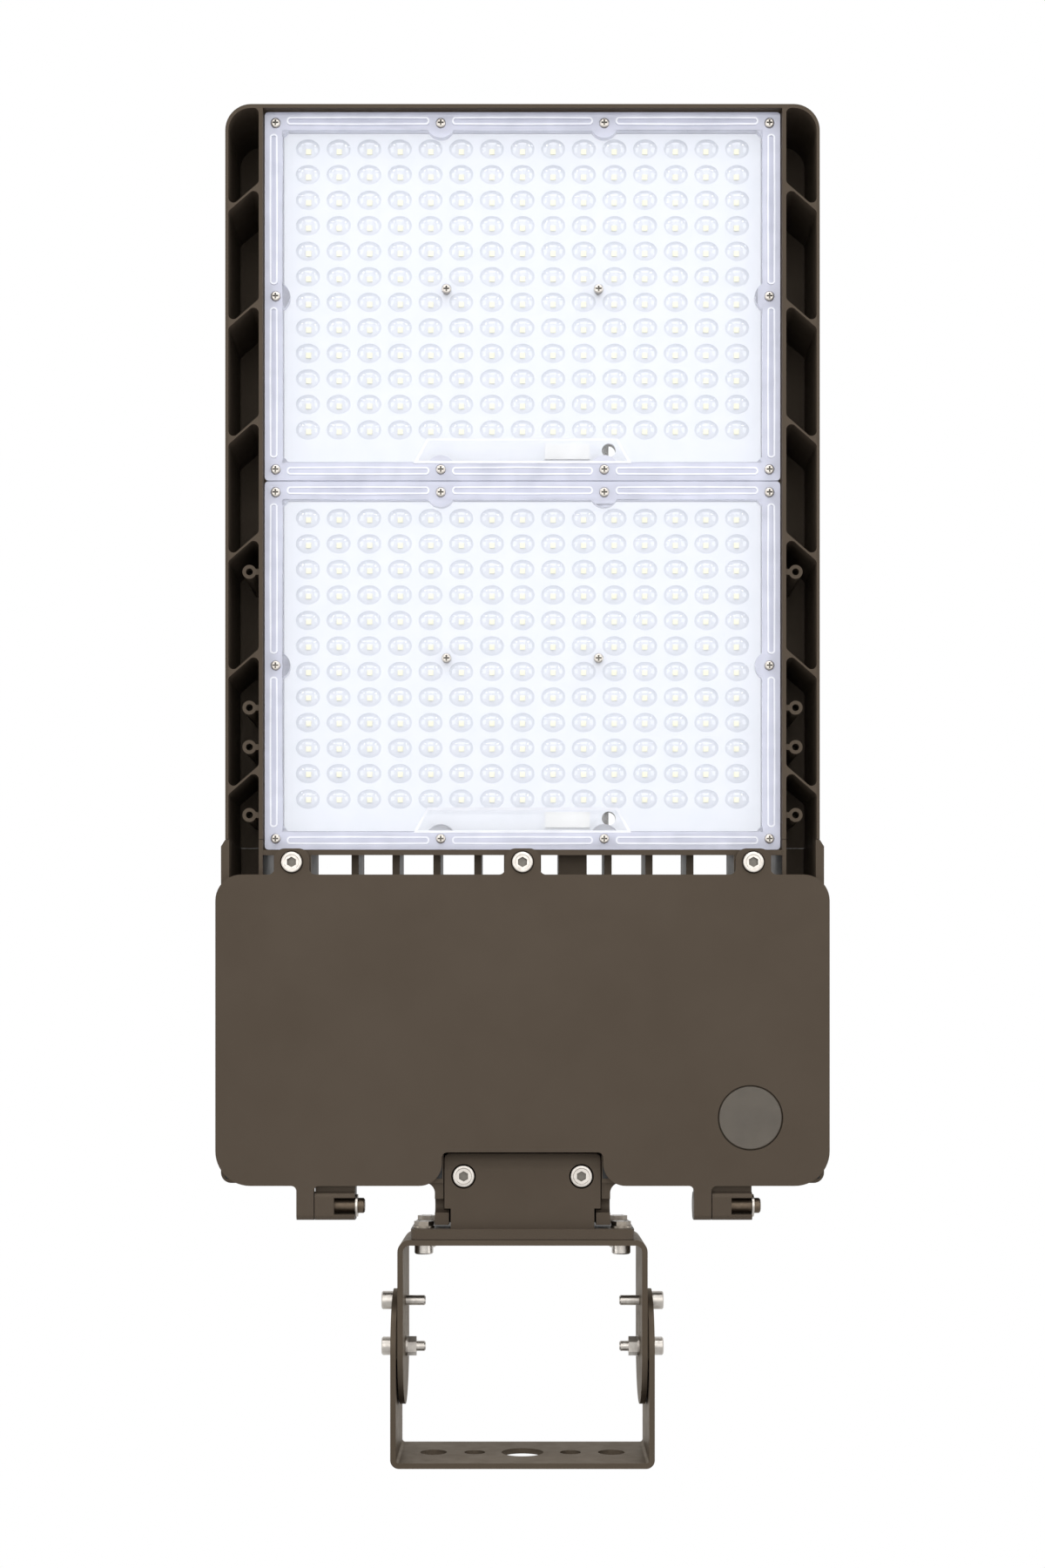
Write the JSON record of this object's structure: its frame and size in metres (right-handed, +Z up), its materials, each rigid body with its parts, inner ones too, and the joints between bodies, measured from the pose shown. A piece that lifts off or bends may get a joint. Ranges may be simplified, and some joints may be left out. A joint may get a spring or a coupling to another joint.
{
  "type": "shoebox area light",
  "caption": "Flat rectangular LED floodlight head with a hinged driver compartment, tilting on a two-part steel yoke with a bolt-down base.",
  "frame": {"origin": "centre of the middle hole of the lower yoke's base, on the base's underside", "axes": "+Z up the head, -Y the lit face and the door, +X to the right of someone who looks at the lit face"},
  "size_m": [0.3528, 0.0746, 0.7854],
  "materials": {
    "cast_body": "dark bronze polyester powder coat, fine satin texture",
    "cast_sink": "dark bronze polyester powder coat, fine satin texture",
    "cast_door": "dark bronze polyester powder coat, fine satin texture",
    "yoke_steel": "dark bronze powder coat over bent steel strip",
    "stainless": "plain stainless steel, lightly brushed",
    "pin_steel": "passivated steel, brownish",
    "clear_cover": "clear injection-moulded polycarbonate",
    "white_board": "white solder mask on an aluminium core",
    "phosphor": "yellow phosphor under silicone",
    "seal_rubber": "matt black silicone",
    "clear_seal": "pale grey silicone",
    "black_nylon": "matt black nylon",
    "bronze_plastic": "matt dark bronze nylon",
    "driver_case": "plain anodised aluminium",
    "white_plastic": "white moulded nylon"
  },
  "bodies": {
    "lower_yoke": {"yoke_lower": "yoke_steel", "pivot_bolts": "stainless", "pivot_spring_washers": "stainless", "pivot_washers": "stainless", "pivot_nuts": "stainless", "pivot_spacers": "black_nylon"},
    "head": {"yoke_upper": "yoke_steel", "lock_bolts": "stainless", "lock_spring_washers": "stainless", "flange_bolts": "stainless", "flange_washers": "stainless", "flange_nuts": "stainless", "mount_adapter": "cast_body", "adapter_bolts": "stainless", "driver_housing": "cast_body", "door_gasket": "seal_rubber", "cable_gland": "black_nylon", "gland_cap": "black_nylon", "gland_locknut": "black_nylon", "breather_vent": "black_nylon", "housing_joint_screws": "stainless", "raceway_grommet": "seal_rubber", "heat_sink": "cast_sink", "lens_cover_lower": "clear_cover", "lens_gasket_lower": "clear_seal", "led_board_lower": "white_board", "led_chips_lower": "phosphor", "lens_screws_lower": "stainless", "lens_cover_upper": "clear_cover", "lens_gasket_upper": "clear_seal", "led_board_upper": "white_board", "led_chips_upper": "phosphor", "lens_screws_upper": "stainless", "board_connectors": "white_plastic", "led_driver_lower": "driver_case", "led_driver_upper": "driver_case", "driver_screws": "stainless", "surge_protector": "white_plastic", "terminal_block": "white_plastic", "ground_washer": "stainless", "ground_screw": "stainless"},
    "door": {"driver_door": "cast_door", "hinge_pins": "pin_steel", "hinge_rings": "stainless", "door_screws": "stainless", "sensor_plug": "bronze_plastic", "sensor_plug_seal": "seal_rubber", "sensor_plug_nut": "black_nylon"}
  },
  "joints": [
    {"name": "yoke_tilt", "type": "hinge", "parent": "lower_yoke", "child": "head", "pos_m": [0, 0, 0.066], "axis": [1, 0, 0], "range_deg": [-90, 90]},
    {"name": "door_hinge", "type": "hinge", "parent": "head", "child": "door", "pos_m": [0, -0.026, 0.1508], "axis": [1, 0, 0], "range_deg": [0, 105]}
  ]
}
